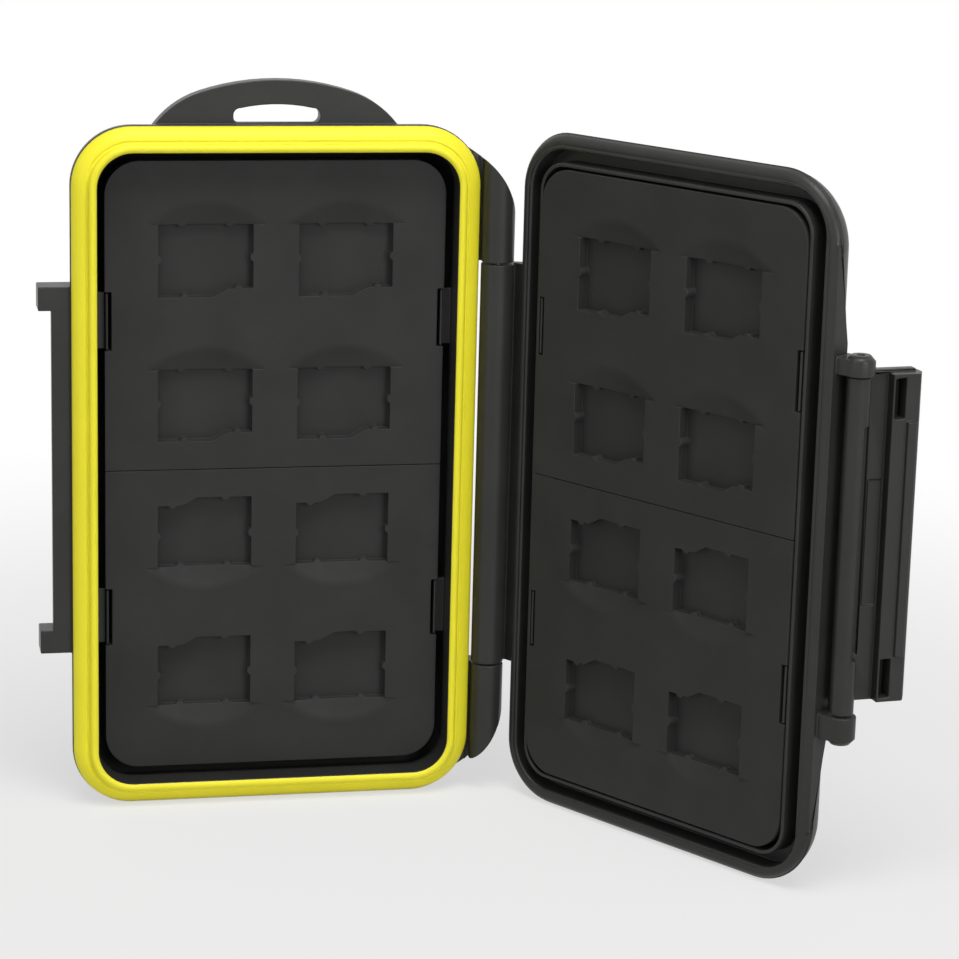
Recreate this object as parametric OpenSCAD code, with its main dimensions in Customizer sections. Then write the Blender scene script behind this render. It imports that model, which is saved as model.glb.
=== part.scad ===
// Pocket case for small memory cards, open like a book and standing upright.
// The base half carries the yellow seal, the lid half swings on the long side
// and the latch flap swings on the far edge of the lid.
// Millimetres, +Z up. The case stands on z = 0, centred on the origin.

/* [Case] */
// Width of each half, without hinge and catch
case_w = 66.4; // [60:0.2:76]
// Height of each half, without the strap tab
case_h = 112.9; // [104:0.1:124]
// Corner radius of the base half seen from the front
corner_r = 9.8; // [9.6:0.1:13]
// How far the lid's outline lies inside the base's
lid_inset = 0.17; // [0:0.01:0.4]
// Radius of the lid's two corners beside the latch
lid_corner_r = 11.4; // [9.6:0.1:13]
// Depth of the base half behind the hinge axis
base_depth = 10.6; // [9.8:0.1:14]
// Depth of the lid half behind the hinge axis
lid_depth = 8.4; // [8:0.1:11]
// Rounding of the base half's back edges
base_edge_r = 9.4; // [6:0.1:9.4]
// Rounding of the lid half's back edges
lid_edge_r = 6.2; // [5:0.1:6.6]
// Wall and floor thickness
wall = 2; // [1.6:0.1:2.2]

/* [Pose] */
// Angle between the two halves, 0 is closed
lid_open = 123; // [0:1:180]
// Angle of the latch flap from its closed position
flap_open = 152.5; // [0:0.5:156]

/* [Hinge] */
// Radius of the hinge barrels
barrel_r = 2.7; // [2.4:0.05:3]
// Gap between barrels and the side of the case
barrel_gap = 0.28; // [0.2:0.02:0.5]
// Length of the lid's barrel
barrel_len = 67.8; // [56:0.2:72]
// Distance from the top of the case down to where the base's barrels start to curve in
knuckle_drop = 17; // [14:0.1:19]
// End gap between barrels
barrel_play = 0.3; // [0.2:0.05:0.6]
// Diameter of the hinge pin
pin_d = 1.8; // [1.4:0.1:2.2]

/* [Seal] */
// Height of the seal's bead above the hinge axis
seal_top = 2.9; // [2.7:0.05:3.1]
// Width of the seal
seal_w = 4.1; // [3.9:0.05:4.2]
// Height of the wall behind the seal's bead above the hinge axis
seal_wall_top = 2.5; // [1.8:0.05:2.6]

/* [Trays] */
// Distance from the side of the case to the trays
tray_side = 5.5; // [5.4:0.05:7]
// Distance from the top of the case to the trays
tray_end = 5.75; // [5.6:0.05:8]
// Thickness of the trays
tray_t = 3.2; // [2.8:0.1:3.4]
// Depth of the tray's face below the hinge axis
tray_face = 1.3; // [1.2:0.05:1.6]
// Corner radius of the trays
tray_r = 5.6; // [4:0.1:7]

/* [Card pockets] */
// Pocket length along the card
pocket_w = 15.3; // [15.2:0.05:16]
// Pocket height at the wide end of the card
pocket_h = 11.75; // [11.6:0.05:12.4]
// How much narrower the pocket is past the step
pocket_step = 1.35; // [1:0.05:1.5]
// Pocket depth
pocket_d = 1.9; // [1.4:0.1:2.2]
// Spacing of the two pocket columns
pocket_pitch = 22.8; // [21:0.1:25]
// Height of the flat edge of the outer pockets above the middle
row_outer = 40.3; // [39:0.1:41]
// Height of the flat edge of the inner pockets above the middle
row_inner = 16.5; // [15.5:0.1:18]
// Radius of the gripping nubs
nub_r = 0.75; // [0.6:0.05:0.85]
// How far each nub reaches into the pocket
nub_in = 0.5; // [0.3:0.05:0.55]
// Width of the finger scoop at the pocket
scoop_w = 20.4; // [18:0.2:21]
// Reach of the finger scoop away from the pocket
scoop_reach = 4.3; // [3.5:0.1:5]
// Depth of the finger scoop at the pocket
scoop_d = 1; // [0.7:0.05:1.2]

/* [Latch] */
// Distance from the lid's side to the latch pin
latch_out = 2.79; // [2.7:0.01:3]
// Depth of the latch pin below the hinge axis
latch_down = 5.1; // [4.9:0.05:5.3]
// Radius of the flap's barrel
latch_r = 1.83; // [1.6:0.01:1.9]
// Length of the flap
flap_len = 51.6; // [40:0.2:52]
// Reach of the flap from its pin
flap_reach = 11.2; // [10.6:0.1:12.4]
// Distance from the pin to the flap's inner face
flap_offset = 2.23; // [2.1:0.01:2.4]
// Thickness of the flap
flap_t = 2.14; // [1.6:0.02:2.4]
// Diameter of the latch pin
latch_pin_d = 1.2; // [1:0.1:1.3]
// Thickness of the upper lid ear
ear_t = 3.2; // [2.6:0.1:3.8]
// Thickness of the lower lid ear
ear_low_t = 4.5; // [3:0.1:5]
// Radius of the ears round the pin
ear_r = 2.3; // [2:0.05:2.5]
// Half length of the flat pad beside the latch on the lid's side
pad_half = 31; // [28:0.5:34]

/* [Catch] */
// Reach of the catch rail from the side of the case
rail_out = 3; // [2.8:0.05:3.1]
// Reach of the end stops from the side of the case
stop_out = 5.1; // [4:0.1:6]
// Thickness of each end stop
stop_t = 3.9; // [3:0.1:5]

/* [Strap tab] */
// Width of the tab where it meets the case
tab_w = 40.4; // [32:0.2:44]
// Height of the tab above the case
tab_h = 7; // [6.6:0.1:9]
// Thickness of the tab
tab_t = 3; // [2.4:0.1:3.8]
// Width of the strap slot
slot_w = 14; // [11:0.1:16]
// Height of the strap slot in its middle
slot_h = 3.1; // [2.8:0.1:3.6]

/* [Hidden] */
$fn = 96;
hw = case_w / 2;
hh = case_h / 2;
hx = hw + barrel_gap + barrel_r;
cr = corner_r;
lid_hw = hw - lid_inset;
lid_hh = hh - lid_inset;
swing = 180 - lid_open;
latch_s = hx + lid_hw + latch_out;
rim_z = -1.8;
rim_r = 1.25;
seat_z = -0.6;
tray_gap = 0.1;
notch_lo = 19.9;
notch_hi = 29.5;
notch_in = 1.1;
notch_d = 1.9;
seal_inset = 0.15;
seal_wall_t = 0.6;
tray_edge = hw - tray_side;
tray_top = hh - tray_end;
rib_t = 0.65;
rib_gap = 0.1;
knuckle_y = barrel_len / 2 + barrel_play;
// Curve that ends the knuckles, seen from the front
arc_r = cr + barrel_gap + 2 * barrel_r - 0.5;
arc_x = hx + barrel_r + 0.2 - arc_r;
arc_y = hh - knuckle_drop;
// The flap's plate sits a little high between the ears
flap_up = 0.63;
flap_over = 0.4;
// Raised band of the flap and the hook lip on it, measured from the pin
band_z = 5.85;
band_o = 0.43;
lip_o = -0.25;
lip_z = 8.3;
ear_in = flap_len / 2 + 0.8;
stop_in = flap_len / 2 + 0.8;
// Offsets that centre the open case on the origin
mid_x = 26.19;
mid_y = 24.503;

// Turns the face-up working frame (x across, y along, z out of the tray) upright
module upright() {
  translate([-mid_x, mid_y, hh])
    rotate([90, 0, 0])
      children();
}

// Carries the lid from the flat open position to its angle
module lid_pose() {
  upright()
    translate([hx, 0, 0])
      rotate([0, -swing, 0])
        children();
}

// Carries the flap, drawn closed, to its angle on the lid
module flap_pose() {
  lid_pose()
    translate([latch_s, 0, -latch_down])
      rotate([0, flap_open, 0])
        children();
}

// Rounded rectangle given by its half sizes
module round_rect(a, b, r) {
  square([2 * a, 2 * (b - r)], center = true);
  square([2 * (a - r), 2 * b], center = true);
  for (sx = [-1, 1])
    for (sy = [-1, 1])
      translate([sx * (a - r), sy * (b - r)])
        circle(r);
}

// Sweeps a profile round a half: x is the offset from the outer side, y is height.
// The corners have radius r on the right and q on the left
module sweep(a, b, r, q) {
  for (m = [0, 1])
    mirror([m, 0, 0])
      translate([a, b - (m == 0 ? r : q), 0])
        rotate([90, 0, 0])
          linear_extrude(2 * (b - (m == 0 ? r : q)))
            children();
  for (m = [0, 1])
    mirror([0, m, 0])
      translate([-(a - q), b, 0])
        rotate([90, 0, 90])
          linear_extrude(2 * a - q - r)
            children();
  for (c = [[1, 1, 0, r], [-1, 1, 90, q], [-1, -1, 180, q], [1, -1, 270, r]])
    translate([c[0] * (a - c[3]), c[1] * (b - c[3]), 0])
      rotate([0, 0, c[2]])
        rotate_extrude(angle = 90)
          translate([c[3], 0])
            children();
}

// Outer section of a half: side, rounded back edge and the start of the floor
module half_section(depth, top, er) {
  difference() {
    union() {
      translate([-9.5, -depth])
        square([9.5 - er, top + depth]);
      translate([-er, -(depth - er)])
        circle(er);
      translate([-er - 0.01, -(depth - er)])
        square([er + 0.01, 2 * depth]);
    }
    translate([-20, top])
      square([30, 40]);
    translate([-25, -40])
      square([15.5, 60]);
  }
}

// Hinge barrel section: circle and web to the side of a half, top and bottom of the web
module barrel_section(top, bottom) {
  web_r = barrel_r - 0.06;
  beta = atan2(bottom[1], bottom[0]) + acos(web_r / norm(bottom));
  circle(barrel_r);
  polygon([
    top,
    [-barrel_r * 0.6, top[1]],
    [0, 0],
    [web_r * cos(beta), web_r * sin(beta)],
    bottom
  ]);
}

// Outline of a base knuckle seen from the front, its outer end curving to the corner
module knuckle_outline() {
  translate([hw - cr, knuckle_y])
    square([hx + barrel_r + 0.2 - hw + cr, arc_y - knuckle_y]);
  intersection() {
    translate([arc_x, arc_y])
      circle(arc_r);
    translate([hw - cr, arc_y - 0.01])
      square([30, 30]);
  }
}

// Base knuckle with its gusset behind the seal's corner
module knuckle() {
  intersection() {
    translate([hx, hh, 0])
      rotate([90, 0, 0])
        linear_extrude(hh)
          barrel_section([hw - hx - 0.3, -0.9], [hw - hx - 2.4, -6.4]);
    translate([0, 0, -20])
      linear_extrude(40)
        knuckle_outline();
  }
  difference() {
    translate([0, 0, -5.4])
      linear_extrude(4.4)
        knuckle_outline_corner();
    translate([0, 0, -20])
      linear_extrude(40)
        round_rect(hw - 1.2, hh - 1.2, cr - 1.2);
  }
}

// The part of the knuckle outline that fills in beside the rounded corner
module knuckle_outline_corner() {
  intersection() {
    translate([arc_x, arc_y])
      circle(arc_r);
    translate([hw - cr, arc_y])
      square([cr + 1, 30]);
  }
}

// Strap tab: arched plate with rounder shoulders and a slot under its crown
module strap_tab() {
  r = 39.4;
  q = 15.1;
  a = asin((tab_w / 2 - 7.8) / r);
  translate([0, 0, -2.2 - tab_t])
    linear_extrude(tab_t)
      difference() {
        intersection() {
          union() {
            intersection() {
              translate([0, hh + tab_h - r])
                circle(r);
              translate([-r * sin(a), hh - 1.5])
                square([2 * r * sin(a), tab_h + 3]);
            }
            for (m = [0, 1])
              mirror([m, 0, 0])
                translate([(r - q) * sin(a), hh + tab_h - r + (r - q) * cos(a)])
                  circle(q);
          }
          translate([-tab_w, hh - 1.5])
            square([2 * tab_w, tab_h + 3]);
        }
        strap_slot();
      }
}

// Strap slot outline, flat below and arched above, with rounded corners
module strap_slot() {
  sag = 0.9;
  q = 1.1;
  r = (slot_w * slot_w / 4 + sag * sag) / (2 * sag);
  side_w = slot_w / 2 - q;
  side_h = slot_h - r + sqrt(r * r - side_w * side_w);
  intersection() {
    translate([0, hh + slot_h - r])
      circle(r);
    translate([-side_w, hh - 0.01])
      square([2 * side_w, slot_h + 1]);
  }
  for (m = [0, 1])
    mirror([m, 0, 0]) {
      for (y = [q - 0.01, side_h - q])
        translate([side_w, hh + y])
          circle(q);
      translate([side_w - 0.5, hh + q - 0.01])
        square([0.5 + q, side_h - 2 * q + 0.01]);
    }
}

// Catch on the side away from the hinge: rail between two end stops
module catch() {
  translate([-hw - rail_out, -stop_in - 0.5, -3])
    cube([rail_out + 1, 2 * stop_in + 1, 1.8]);
  for (m = [0, 1])
    mirror([0, m, 0])
      translate([-hw - stop_out, stop_in, -6])
        cube([stop_out + 1.9, stop_t, 4.8]);
}

// Round posts that carry a tray
module posts(floor_z) {
  for (x = [-1, 1])
    for (y = [-38, -13, 13, 38])
      translate([x * 20, y, floor_z - 0.2])
        cylinder(h = -tray_face - tray_t - floor_z + 0.2, r = 2.4);
}

// Retaining tabs that hold a tray: a low bridge and a thin upright head in each notch
module tray_tabs(from_x) {
  for (mx = [0, 1])
    for (my = [0, 1])
      mirror([mx, 0, 0])
        mirror([0, my, 0])
          translate([tray_edge - 0.6, notch_lo + 0.15, -tray_face - notch_d]) {
            cube([from_x - tray_edge + 0.6, notch_hi - notch_lo - 0.3, 0.5]);
            cube([0.45, notch_hi - notch_lo - 0.3, notch_d - 0.15]);
          }
}

// Base half: tub with seal seat, knuckles, catch and strap tab
module base_shell() {
  color([0.13, 0.13, 0.13])
    upright()
      difference() {
        union() {
          sweep(hw, hh, cr, cr)
            base_section();
          translate([0, 0, -base_depth])
            linear_extrude(wall)
              square([2 * (hw - 9), 2 * (hh - 9)], center = true);
          knuckle();
          mirror([0, 1, 0])
            knuckle();
          strap_tab();
          catch();
          posts(-base_depth + wall);
          tray_tabs(hw - seal_w + 0.3);
        }
        translate([hx, 0, 0])
          rotate([90, 0, 0])
            cylinder(h = case_h + 30, d = pin_d, center = true);
      }
}

// Section of the base: side wall, seal seat with its groove and wall, floor
module base_section() {
  er = base_edge_r;
  difference() {
    union() {
      half_section(base_depth, seat_z, er);
      translate([-seal_w - 0.3, seat_z - 1])
        square([seal_wall_t + 0.3, 1 + seal_wall_top - seat_z]);
    }
    intersection() {
      union() {
        translate([-20, -base_depth + wall])
          square([20 - er, 20]);
        translate([-er, -(base_depth - er)])
          circle(er - wall);
        translate([-er - 1, -(base_depth - er)])
          square([er + 1 - wall, 20]);
      }
      polygon([
        [-20, -3.2],
        [-seal_w, -3.2],
        [0, -3.2 - seal_w],
        [0, -20],
        [-20, -20]
      ]);
    }
    translate([-20, -3.3])
      square([20 - seal_w, 20]);
    translate([-2.95, seat_z - 1.3])
      square([1.3, 5]);
  }
}

// Section of the seal: sloping outer band, groove line, tongue, and a bead that
// caps the wall behind it
module seal_section() {
  bead_r = 0.7;
  bead_x = -seal_w + bead_r;
  difference() {
    union() {
      intersection() {
        translate([-3.257, -1.754])
          circle(3.5);
        translate([-seal_w, seat_z])
          square([seal_w - seal_inset, 5]);
      }
      translate([bead_x, seal_top - bead_r])
        circle(bead_r);
      translate([bead_x - bead_r, seat_z])
        square([2 * bead_r, seal_top - bead_r - seat_z]);
      translate([-2.85, seat_z - 1.2])
        square([1.1, 1.3]);
    }
    translate([-2.4, 1.8])
      circle(0.33);
    translate([-seal_w - 1, seat_z - 1])
      square([1 + seal_wall_t, 1 + seal_wall_top - seat_z]);
  }
}

// Yellow rubber seal on the base's rim
module base_seal() {
  color([0.95, 0.9, 0.1])
    upright()
      sweep(hw, hh, cr, cr)
        seal_section();
}

// Card pocket outline, flat edge on top at y = 0
module pocket_outline() {
  a = pocket_w / 2;
  polygon([
    [-a, 0],
    [a, 0],
    [a, -pocket_h + pocket_step],
    [3.6, -pocket_h + pocket_step],
    [1.2, -pocket_h],
    [-a, -pocket_h]
  ]);
}

// Pocket outline less its six gripping nubs
module pocket_mouth() {
  a = pocket_w / 2;
  o = nub_r - nub_in;
  difference() {
    pocket_outline();
    for (p = [
      [-3.8, o],
      [3.9, o],
      [-3.4, -pocket_h - o],
      [5.3, -pocket_h + pocket_step - o],
      [-a - o, -5.6],
      [a + o, -5.3]
    ])
      translate(p)
        circle(nub_r);
  }
}

// Everything that one card pocket takes away, mouth at z = 0
module pocket() {
  arc_r = (scoop_w * scoop_w / 4 + scoop_reach * scoop_reach) / (2 * scoop_reach);
  q = arc_r - scoop_reach;
  c = (arc_r * arc_r - q * q - scoop_d * scoop_d) / (2 * scoop_d);
  translate([0, 0, -pocket_d])
    linear_extrude(pocket_d + 1)
      pocket_mouth();
  intersection() {
    translate([0, -q, c])
      sphere(sqrt(c * c + arc_r * arc_r));
    union() {
      translate([-scoop_w, 0, -3])
        cube([2 * scoop_w, 10, 4]);
      translate([-pocket_w / 2 + 0.5, -1.4, -3])
        cube([pocket_w - 1, 2, 4]);
    }
  }
}

// Upper half tray in the working frame, face at z = 0
module half_tray() {
  difference() {
    translate([0, 0, -tray_t])
      linear_extrude(tray_t)
        intersection() {
          round_rect(tray_edge, tray_top, tray_r);
          translate([-2 * hw, tray_gap / 2])
            square([4 * hw, hh]);
        }
    for (x = [-1, 1])
      for (y = [row_outer, row_inner])
        translate([x * pocket_pitch / 2, y, 0])
          pocket();
    for (m = [0, 1])
      mirror([m, 0, 0])
        translate([tray_edge - notch_in, notch_lo, -tray_t - 1])
          cube([5, notch_hi - notch_lo, tray_t + 2]);
  }
}

// Upper card tray of the base
module base_tray_upper() {
  color([0.2, 0.2, 0.2])
    upright()
      translate([0, 0, -tray_face])
        half_tray();
}

// Lower card tray of the base, the same moulding turned half round
module base_tray_lower() {
  color([0.2, 0.2, 0.2])
    upright()
      translate([0, 0, -tray_face])
        rotate([0, 0, 180])
          half_tray();
}

// Steel hinge pin through both base knuckles and the lid's barrel
module hinge_pin() {
  color([0.6, 0.6, 0.6])
    upright()
      translate([hx, 0, 0])
        rotate([90, 0, 0])
          cylinder(h = 2 * (barrel_len / 2 + barrel_play + 13.2), d = pin_d, center = true);
}

// Outer section of the lid: side wall with its rounded rim
module lid_section() {
  difference() {
    union() {
      half_section(lid_depth, rim_z - rim_r, lid_edge_r);
      translate([-2.5, rim_z - rim_r - 0.5])
        square([2.5 - rim_r, rim_r + 0.5 - 0.33]);
      translate([-rim_r - 0.07, rim_z - rim_r])
        circle(rim_r);
    }
    translate([-20, -lid_depth + wall])
      square([20 - tray_side - 0.5, 20]);
  }
}

// What the seal's channel and the tray's room take from the lid's section
module lid_channel_section() {
  rib_in = tray_side - lid_inset - rib_gap;
  translate([-rib_in - 0.01, -5.2])
    square([rib_in + 0.01 - 2.44, 20]);
  translate([-9.3, -lid_depth + wall])
    square([9.3 - rib_in, 20]);
}

// Ridge beside the seal's channel and thin rib round the tray
module lid_rib_section() {
  rib_in = tray_side - lid_inset - rib_gap;
  translate([-2.15, rim_z - 0.31])
    circle(0.31);
  translate([-rib_in, -5.6])
    square([rib_t, 5.6 - 1.55]);
}

// Flat pad that squares the lid's side beside the latch, running out at its ends,
// and the deeper wall behind the flap's barrel
module latch_pad() {
  translate([lid_hw, ear_in + 0.5, 0])
    rotate([90, 0, 0])
      linear_extrude(2 * ear_in + 1)
        polygon([
          [-2.6, -3],
          [-0.07, -3],
          [-0.07, -6.05],
          [-1.4, -6.75],
          [-2.6, -6.9]
        ]);
  translate([lid_hw - 0.05, 0, 0])
    rotate([0, -90, 0])
      linear_extrude(2.4)
        polygon([
          [-2.1, pad_half + 15],
          [-2.7, pad_half + 15],
          [-5.5, pad_half],
          [-5.5, -pad_half],
          [-2.7, -pad_half - 15],
          [-2.1, -pad_half - 15]
        ]);
}

// One ear that carries an end of the latch pin: boss t thick on a lower web
module ear(t) {
  translate([latch_s, ear_in, -latch_down]) {
    translate([0, t - 0.9, 0])
      rotate([-90, 0, 0])
        cylinder(h = 0.9, r1 = ear_r, r2 = ear_r - 0.8);
    translate([0, t - 0.9, 0])
      rotate([90, 0, 0])
        cylinder(h = t - 0.9, r = ear_r);
    translate([0, t - 0.6, 0])
      rotate([90, 0, 0])
        linear_extrude(t - 0.6)
          polygon([
            [0.1, ear_r - 0.06],
            [-0.4, ear_r - 0.1],
            [-latch_out - 0.9, latch_down - 2.9],
            [-latch_out - 2.6, latch_down - 7],
            [-0.8, 0.2 - ear_r],
            [0.1, 0.06 - ear_r]
          ]);
  }
}

// Lid half, drawn flat open beside the hinge axis
module lid_shell() {
  color([0.13, 0.13, 0.125])
    lid_pose()
      difference() {
        union() {
          translate([hx, 0, 0]) {
            difference() {
              union() {
                sweep(lid_hw, lid_hh, lid_corner_r, cr - lid_inset)
                  lid_section();
                latch_pad();
              }
              sweep(lid_hw, lid_hh, cr - lid_inset, cr - lid_inset)
                lid_channel_section();
            }
            sweep(lid_hw, lid_hh, cr - lid_inset, cr - lid_inset)
              lid_rib_section();
            translate([0, 0, -lid_depth])
              linear_extrude(wall)
                square([2 * (lid_hw - 9), 2 * (lid_hh - 9)], center = true);
            posts(-lid_depth + wall);
            tray_tabs(tray_edge + rib_gap + 0.3);
          }
          translate([0, barrel_len / 2, 0])
            rotate([90, 0, 0])
              linear_extrude(barrel_len)
                mirror([1, 0, 0])
                  barrel_section([lid_hw - hx - 0.6, rim_z - 0.8], [lid_hw - hx - 1.6, -6]);
          ear(ear_t);
          mirror([0, 1, 0])
            ear(ear_low_t);
        }
        rotate([90, 0, 0])
          cylinder(h = barrel_len + 10, d = pin_d + 0.1, center = true);
        translate([latch_s, 0, -latch_down])
          rotate([90, 0, 0])
            cylinder(h = case_h, d = latch_pin_d, center = true);
      }
}

// Upper card tray of the lid
module lid_tray_upper() {
  color([0.21, 0.21, 0.195])
    lid_pose()
      translate([hx, 0, -tray_face])
        half_tray();
}

// Lower card tray of the lid
module lid_tray_lower() {
  color([0.21, 0.21, 0.195])
    lid_pose()
      translate([hx, 0, -tray_face])
        rotate([0, 0, 180])
          half_tray();
}

// Latch flap, drawn closed: x is outward, z is towards the base
module latch_flap() {
  fo = flap_offset;
  ft = flap_t;
  fl = flap_len;
  color([0.13, 0.13, 0.13])
    flap_pose()
      translate([0, flap_up, 0])
        difference() {
          union() {
            translate([0, fl / 2, 0])
              rotate([90, 0, 0])
                cylinder(h = fl + 1.2, r = latch_r);
            translate([0, fl / 2, 0])
              rotate([90, 0, 0])
                linear_extrude(fl)
                  polygon([
                    [0, -1.1],
                    [1.3, -1.1],
                    [fo + 0.3, 0.2],
                    [fo + ft - 0.5, 0.3],
                    [fo + ft, 0.9],
                    [fo + ft, 3],
                    [fo, 3],
                    [fo, 2.4],
                    [1.1, 1.3],
                    [0, 1.1]
                  ]);
            translate([0, fl / 2, 0])
              rotate([90, 0, 0])
                linear_extrude(fl)
                  flap_plate_section();
            translate([fo + 0.4, fl / 2 - 1, 2.7])
              cube([ft - 0.42, 1 + flap_over, flap_reach - 3.5]);
            translate([lip_o, -18.5, lip_z])
              cube([fo - lip_o, 37, 1.5]);
          }
          for (m = [0, 1])
            mirror([0, m, 0])
              translate([-1, 18.9, band_z + 0.4])
                cube([fo + 2, fl / 2 - 18.9 - 0.7, 1.7]);
          translate([fo - 1, -10.6, 3.3])
            cube([1.2, 19.8, 2.2]);
          rotate([0, -20, 0])
            translate([-3, -18.3, 1])
              cube([6.3, 36.6, 0.95]);
          rotate([90, 0, 0])
            cylinder(h = fl + 10, d = latch_pin_d + 0.1, center = true);
        }
}

// Section of the flap's plate with the raised band along its free edge
module flap_plate_section() {
  fo = flap_offset;
  ft = flap_t;
  polygon([
    [fo, 2.6],
    [fo + ft, 2.6],
    [fo + ft, flap_reach - 0.8],
    [fo + ft - 0.7, flap_reach],
    [fo, flap_reach],
    [band_o + 0.1, flap_reach - 0.9],
    [band_o, flap_reach - 1.2],
    [band_o, band_z],
    [fo, band_z]
  ]);
}

// Steel latch pin held in the lid's ears
module latch_pin() {
  color([0.6, 0.6, 0.6])
    lid_pose()
      translate([latch_s, 0, -latch_down])
        rotate([90, 0, 0])
          translate([0, 0, (ear_low_t - ear_t) / 2])
            cylinder(h = 2 * ear_in + ear_t + ear_low_t - 1, d = latch_pin_d, center = true);
}

base_shell();
base_seal();
base_tray_upper();
base_tray_lower();
hinge_pin();
lid_shell();
lid_tray_upper();
lid_tray_lower();
latch_flap();
latch_pin();
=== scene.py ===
import math

import bmesh
import bpy
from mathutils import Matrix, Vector


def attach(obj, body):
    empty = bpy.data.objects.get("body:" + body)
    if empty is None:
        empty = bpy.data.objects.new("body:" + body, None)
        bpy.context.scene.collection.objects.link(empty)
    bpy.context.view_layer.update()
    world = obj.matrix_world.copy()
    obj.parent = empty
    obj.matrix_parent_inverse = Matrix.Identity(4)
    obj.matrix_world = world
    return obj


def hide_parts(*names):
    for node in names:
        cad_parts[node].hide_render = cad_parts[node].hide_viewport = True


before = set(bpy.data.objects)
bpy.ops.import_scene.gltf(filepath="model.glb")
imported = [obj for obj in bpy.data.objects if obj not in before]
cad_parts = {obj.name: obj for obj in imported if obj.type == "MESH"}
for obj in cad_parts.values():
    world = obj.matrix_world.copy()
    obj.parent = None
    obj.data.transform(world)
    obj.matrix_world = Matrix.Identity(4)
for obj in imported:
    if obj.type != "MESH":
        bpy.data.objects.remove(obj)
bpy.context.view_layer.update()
bpy.ops.object.select_all(action="DESELECT")

# ---- Camera ----
# Stands a little above the open case and to its left, looking down at the
# inside of both halves, with a long lens.
CAMERA_TURN = (76.1447, -1.4487, -11.4746)

camera_data = bpy.data.cameras.new("camera")
camera_data.lens = 118.52
camera_data.sensor_width = 36.0
camera = bpy.data.objects.new("camera", camera_data)
camera.location = (-0.096385, -0.473497, 0.179416)
camera.rotation_euler = [math.radians(angle) for angle in CAMERA_TURN]
bpy.context.scene.collection.objects.link(camera)
bpy.context.scene.camera = camera


# ---- Shells and latch flap ----
# The base, the lid and the latch flap are injection moulded in black satin
# plastic. Every moulded edge has a small radius and the faces a fine
# spark-eroded grain.
SHELL_ROUNDING = 0.0002
SHELL_COLOUR = (0.026, 0.026, 0.025)
JOIN_DISTANCE = 2e-6
SAME_PLANE = math.radians(0.5)
SHARP_EDGE = math.radians(50)
SMOOTH_BELOW = math.radians(35)
BACK_STEP = 0.00004
NOISE_LOW = 0.3
NOISE_HIGH = 0.7
MOTTLE = 110.0
FLOW_LINES = 420.0
FLOW_STRETCH = (1.0, 1.0, 0.4)
GLOSS_SWING = 0.04
GRAIN_STRENGTH = 0.4


def moulded_copy(node, name, radius, edge_share=None):
    """A copy of a CAD node with its triangles joined and its edges rounded.

    edge_share(edge) gives the share of the radius that a sharp edge gets.
    """
    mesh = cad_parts[node].data.copy()
    mesh.name = name
    piece = bpy.data.objects.new(name, mesh)
    bpy.context.scene.collection.objects.link(piece)
    bpy.ops.object.select_all(action="DESELECT")
    piece.select_set(True)
    bpy.context.view_layer.objects.active = piece
    bpy.ops.object.mode_set(mode="EDIT")
    bpy.ops.mesh.select_all(action="SELECT")
    bpy.ops.mesh.remove_doubles(threshold=JOIN_DISTANCE)
    bpy.ops.mesh.dissolve_limited(angle_limit=SAME_PLANE)
    bpy.ops.object.mode_set(mode="OBJECT")

    edges = bmesh.new()
    edges.from_mesh(mesh)
    weight = edges.edges.layers.float.new("bevel_weight_edge")
    for edge in edges.edges:
        if len(edge.link_faces) == 2 and edge.calc_face_angle() > SHARP_EDGE:
            edge[weight] = edge_share(edge) if edge_share else 1.0
    edges.to_mesh(mesh)
    edges.free()

    rounding = piece.modifiers.new("rounding", "BEVEL")
    rounding.limit_method = "WEIGHT"
    rounding.width = radius
    rounding.segments = 3
    rounding.use_clamp_overlap = False
    rounding.miter_outer = "MITER_ARC"
    bpy.ops.object.modifier_apply(modifier="rounding")
    bpy.ops.object.shade_smooth_by_angle(angle=SMOOTH_BELOW)
    evened = piece.modifiers.new("evened", "WEIGHTED_NORMAL")
    evened.keep_sharp = True
    evened.weight = 90
    bpy.ops.object.modifier_apply(modifier="evened")
    piece.select_set(False)
    return piece


def largest_face(node):
    """The mesh of a node, its largest face's outward direction and level."""
    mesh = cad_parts[node].data
    face = max(mesh.polygons, key=lambda polygon: polygon.area)
    out = Vector(face.normal)
    return mesh, out, out.dot(mesh.vertices[face.vertices[0]].co)


def plain_back(node):
    """Gives no rounding where a half's flat back meets its rounded edges."""
    mesh, out, level = largest_face(node)

    def share(edge):
        steps = [abs(out.dot(vertex.co) - level) for vertex in edge.verts]
        return 1.0 if max(steps) > BACK_STEP else 0.0

    return share


def noise_map(nodes, links, vector, scale, detail):
    noise = nodes.new("ShaderNodeTexNoise")
    noise.inputs["Scale"].default_value = scale
    noise.inputs["Detail"].default_value = detail
    links.new(vector, noise.inputs["Vector"])
    return noise.outputs["Fac"]


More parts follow.
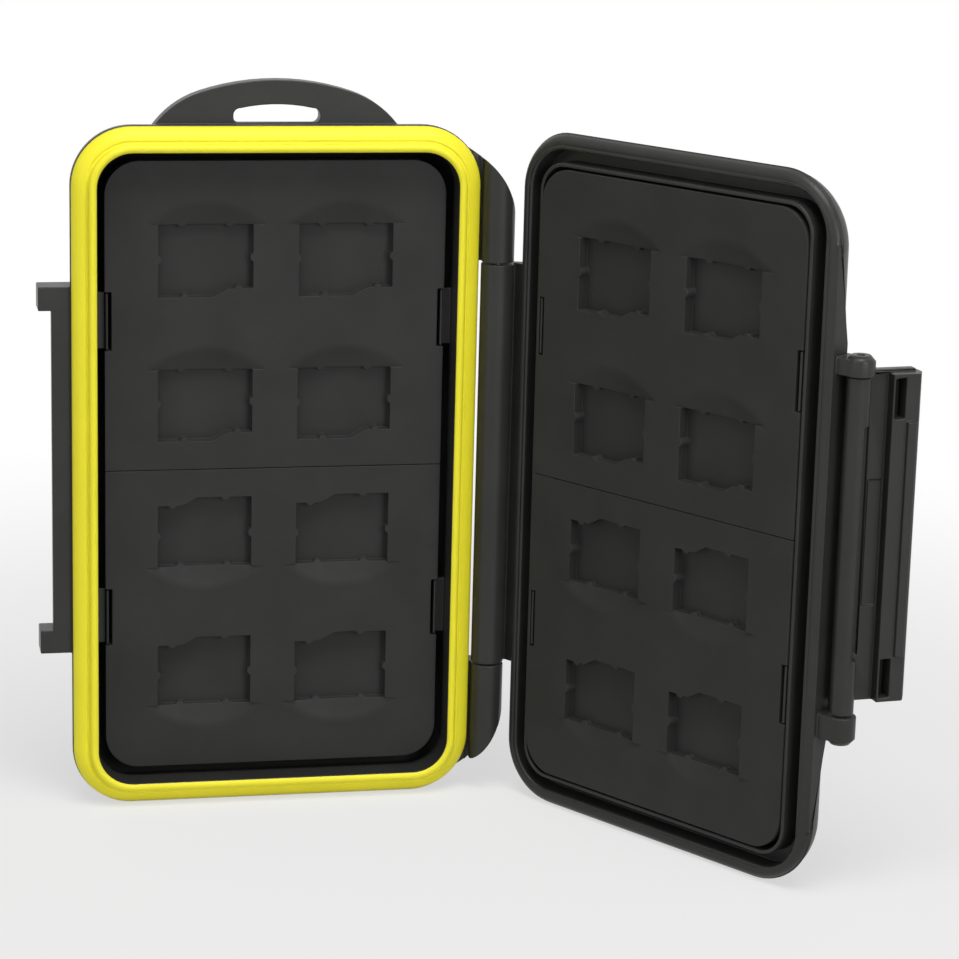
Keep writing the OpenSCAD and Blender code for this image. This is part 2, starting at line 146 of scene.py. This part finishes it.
def grained_finish(name, colour, spread, rough, specular, grain, depth):
    """Moulded plastic or rubber: a faint mottle, flow lines and a fine grain."""
    material = bpy.data.materials.new(name)
    material.use_nodes = True
    nodes = material.node_tree.nodes
    links = material.node_tree.links
    shader = nodes["Principled BSDF"]
    shader.inputs["Specular IOR Level"].default_value = specular
    place = nodes.new("ShaderNodeTexCoord").outputs["Object"]

    tint = nodes.new("ShaderNodeValToRGB")
    dark, light = tint.color_ramp.elements
    dark.position = NOISE_LOW
    dark.color = [c * (1 - spread) for c in colour] + [1]
    light.position = NOISE_HIGH
    light.color = [c * (1 + spread) for c in colour] + [1]
    mottle = noise_map(nodes, links, place, MOTTLE, detail=4.0)
    links.new(mottle, tint.inputs["Fac"])
    links.new(tint.outputs["Color"], shader.inputs["Base Color"])

    stretch = nodes.new("ShaderNodeMapping")
    stretch.inputs["Scale"].default_value = FLOW_STRETCH
    links.new(place, stretch.inputs["Vector"])
    gloss = nodes.new("ShaderNodeMapRange")
    gloss.inputs["From Min"].default_value = NOISE_LOW
    gloss.inputs["From Max"].default_value = NOISE_HIGH
    gloss.inputs["To Min"].default_value = rough - GLOSS_SWING
    gloss.inputs["To Max"].default_value = rough + GLOSS_SWING
    stretched = stretch.outputs["Vector"]
    flow = noise_map(nodes, links, stretched, FLOW_LINES, detail=5.0)
    links.new(flow, gloss.inputs["Value"])
    links.new(gloss.outputs["Result"], shader.inputs["Roughness"])

    bump = nodes.new("ShaderNodeBump")
    bump.inputs["Strength"].default_value = GRAIN_STRENGTH
    bump.inputs["Distance"].default_value = depth
    pits = noise_map(nodes, links, place, grain, detail=3.0)
    links.new(pits, bump.inputs["Height"])
    links.new(bump.outputs["Normal"], shader.inputs["Normal"])
    return material


def wear_material(piece, material):
    piece.data.materials.clear()
    piece.data.materials.append(material)


shell_plastic = grained_finish(
    "shell_plastic", SHELL_COLOUR, spread=0.12, rough=0.38,
    specular=0.25, grain=2600.0, depth=0.00003)
for node, body, edges in (
        ("base_shell", "base", plain_back("base_shell")),
        ("lid_shell", "lid", plain_back("lid_shell")),
        ("latch_flap", "flap", None)):
    piece = moulded_copy(node, node + "_moulding", SHELL_ROUNDING, edges)
    wear_material(piece, shell_plastic)
    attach(piece, body)
    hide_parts(node)

# ---- Card trays ----
# Four alike inserts in a slightly paler, flatter black plastic, pressed into
# the halves. Their outer edges are rounded more than the edges of the pockets.
TRAY_COLOUR = (0.029, 0.029, 0.0283)
TRAY_ROUNDING = 0.00055
POCKET_ROUNDING = 0.00011
LID_TRAY_ROUNDING = 0.00018
TRAY_CORNER = 0.0056
ON_FACE = 1e-5


def tray_edges(node, rest):
    """Gives the full rounding to a tray's outer edges, a share to the rest."""
    mesh, out, level = largest_face(node)
    across = out.cross((0, 0, 1)).normalized()
    sides = [across.dot(vertex.co) for vertex in mesh.vertices]
    middle = (min(sides) + max(sides)) / 2
    half = (max(sides) - min(sides)) / 2
    heights = [vertex.co.z for vertex in mesh.vertices]
    upper = node.endswith("upper")
    end = max(heights) if upper else min(heights)

    def share(edge):
        for vertex in edge.verts:
            beside = abs(across.dot(vertex.co) - middle)
            below = (end - vertex.co.z) * (1 if upper else -1)
            on_face = abs(out.dot(vertex.co) - level) < ON_FACE
            on_side = beside > half - ON_FACE or below < ON_FACE
            in_corner = beside > half - TRAY_CORNER and below < TRAY_CORNER
            if not (on_face and (on_side or in_corner)):
                return rest
        return 1.0

    return share


tray_plastic = grained_finish(
    "tray_plastic", TRAY_COLOUR, spread=0.1, rough=0.5,
    specular=0.14, grain=3200.0, depth=0.00003)
for body, outer in (("base", TRAY_ROUNDING), ("lid", LID_TRAY_ROUNDING)):
    for node in (body + "_tray_upper", body + "_tray_lower"):
        edges = tray_edges(node, POCKET_ROUNDING / outer)
        piece = moulded_copy(node, node + "_insert", outer, edges)
        wear_material(piece, tray_plastic)
        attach(piece, body)
        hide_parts(node)

# ---- Seal ----
# One endless ring of yellow silicone rubber, pressed into the groove of the
# base's rim.
SEAL_COLOUR = (0.87, 0.79, 0.03)
SEAL_ROUNDING = 0.00008

seal_rubber = grained_finish(
    "seal_rubber", SEAL_COLOUR, spread=0.02, rough=0.5,
    specular=0.3, grain=1500.0, depth=0.00001)
piece = moulded_copy("base_seal", "base_seal_ring", SEAL_ROUNDING)
wear_material(piece, seal_rubber)
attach(piece, "base")
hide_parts("base_seal")

# ---- Pins ----
# Two drawn steel wires, cut to length, with the fine lines of the drawing die
# along them.
PIN_ROUNDING = 0.0002
DIE_LINES = 9000.0
DIE_STRETCH = (1.0, 1.0, 0.02)

pin_steel = bpy.data.materials.new("pin_steel")
pin_steel.use_nodes = True
nodes = pin_steel.node_tree.nodes
links = pin_steel.node_tree.links
steel = nodes["Principled BSDF"]
steel.inputs["Metallic"].default_value = 1.0
stretch = nodes.new("ShaderNodeMapping")
stretch.inputs["Scale"].default_value = DIE_STRETCH
place = nodes.new("ShaderNodeTexCoord").outputs["Object"]
links.new(place, stretch.inputs["Vector"])
stretched = stretch.outputs["Vector"]
lines = noise_map(nodes, links, stretched, DIE_LINES, detail=2.0)
tint = nodes.new("ShaderNodeValToRGB")
tint.color_ramp.elements[0].color = (0.36, 0.36, 0.37, 1)
tint.color_ramp.elements[1].color = (0.56, 0.56, 0.57, 1)
links.new(lines, tint.inputs["Fac"])
links.new(tint.outputs["Color"], steel.inputs["Base Color"])
gloss = nodes.new("ShaderNodeMapRange")
gloss.inputs["To Min"].default_value = 0.25
gloss.inputs["To Max"].default_value = 0.45
links.new(lines, gloss.inputs["Value"])
links.new(gloss.outputs["Result"], steel.inputs["Roughness"])
for node, body in (("hinge_pin", "base"), ("latch_pin", "lid")):
    piece = moulded_copy(node, node + "_drawn", PIN_ROUNDING)
    wear_material(piece, pin_steel)
    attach(piece, body)
    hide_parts(node)

# ---- Floor ----
# Plain pale studio floor. It keeps the case's shadow near the case and is seen
# plain white further out.
FLOOR_SIZE = 12.0
WHITE_FROM = 0.09
WHITE_TO = 0.3
FLOOR_VEIL = 0.6


def seen_directly(nodes, links):
    """1 for the camera and for what is seen in gloss or glass, else 0."""
    path = nodes.new("ShaderNodeLightPath")
    total = path.outputs["Is Camera Ray"]
    for name in ("Is Glossy Ray", "Is Transmission Ray"):
        most = nodes.new("ShaderNodeMath")
        most.operation = "MAXIMUM"
        links.new(total, most.inputs[0])
        links.new(path.outputs[name], most.inputs[1])
        total = most.outputs[0]
    return total


bpy.ops.mesh.primitive_plane_add(size=FLOOR_SIZE, location=(0, 0, 0))
floor = bpy.context.object
floor.name = "floor"
floor_paint = bpy.data.materials.new("floor_paint")
floor_paint.use_nodes = True
nodes = floor_paint.node_tree.nodes
links = floor_paint.node_tree.links
paint = nodes["Principled BSDF"]
paint.inputs["Base Color"].default_value = (0.6, 0.6, 0.6, 1)
paint.inputs["Roughness"].default_value = 0.9
paint.inputs["Specular IOR Level"].default_value = 0.1
glow = nodes.new("ShaderNodeEmission")
distance = nodes.new("ShaderNodeVectorMath")
distance.operation = "LENGTH"
place = nodes.new("ShaderNodeTexCoord").outputs["Object"]
links.new(place, distance.inputs[0])
fade = nodes.new("ShaderNodeMapRange")
fade.interpolation_type = "SMOOTHSTEP"
fade.inputs["From Min"].default_value = WHITE_FROM
fade.inputs["From Max"].default_value = WHITE_TO
fade.inputs["To Min"].default_value = FLOOR_VEIL
links.new(distance.outputs["Value"], fade.inputs["Value"])
veil = nodes.new("ShaderNodeMath")
veil.operation = "MULTIPLY"
links.new(fade.outputs["Result"], veil.inputs[0])
links.new(seen_directly(nodes, links), veil.inputs[1])
blend = nodes.new("ShaderNodeMixShader")
links.new(veil.outputs[0], blend.inputs["Fac"])
links.new(paint.outputs[0], blend.inputs[1])
links.new(glow.outputs[0], blend.inputs[2])
links.new(blend.outputs[0], nodes["Material Output"].inputs["Surface"])
floor.data.materials.append(floor_paint)

# ---- Light ----
# A white room, dim as a source, with a large soft panel above the case, one in
# front of it to the right and a weak one on its left.
ROOM_STRENGTH = 0.22
CASE_MIDDLE = Vector((0, 0, 0.06))

world = bpy.data.worlds.new("studio")
bpy.context.scene.world = world
world.use_nodes = True
nodes = world.node_tree.nodes
links = world.node_tree.links
room = nodes["Background"]
room.inputs["Color"].default_value = (1, 1, 1, 1)
room.inputs["Strength"].default_value = ROOM_STRENGTH
white = nodes.new("ShaderNodeBackground")
white.inputs["Color"].default_value = (1, 1, 1, 1)
white.inputs["Strength"].default_value = 1.0
mix = nodes.new("ShaderNodeMixShader")
links.new(seen_directly(nodes, links), mix.inputs["Fac"])
links.new(room.outputs[0], mix.inputs[1])
links.new(white.outputs[0], mix.inputs[2])
links.new(mix.outputs[0], nodes["World Output"].inputs["Surface"])


def soft_panel(name, place, size, power):
    """A rectangular lamp at a place, turned towards the case."""
    data = bpy.data.lights.new(name, "AREA")
    data.shape = "RECTANGLE"
    data.size, data.size_y = size
    data.energy = power
    lamp = bpy.data.objects.new(name, data)
    lamp.location = place
    towards = CASE_MIDDLE - Vector(place)
    lamp.rotation_euler = towards.to_track_quat("-Z", "Y").to_euler()
    bpy.context.scene.collection.objects.link(lamp)


soft_panel("overhead", (0.0, -0.25, 0.75), size=(0.5, 0.35), power=4.4)
soft_panel("left", (-0.9, -0.45, 0.35), size=(0.4, 0.4), power=1.3)
soft_panel("front", (0.4, -1.05, 0.35), size=(0.4, 0.4), power=4.1)

bpy.context.scene.view_settings.view_transform = "Standard"
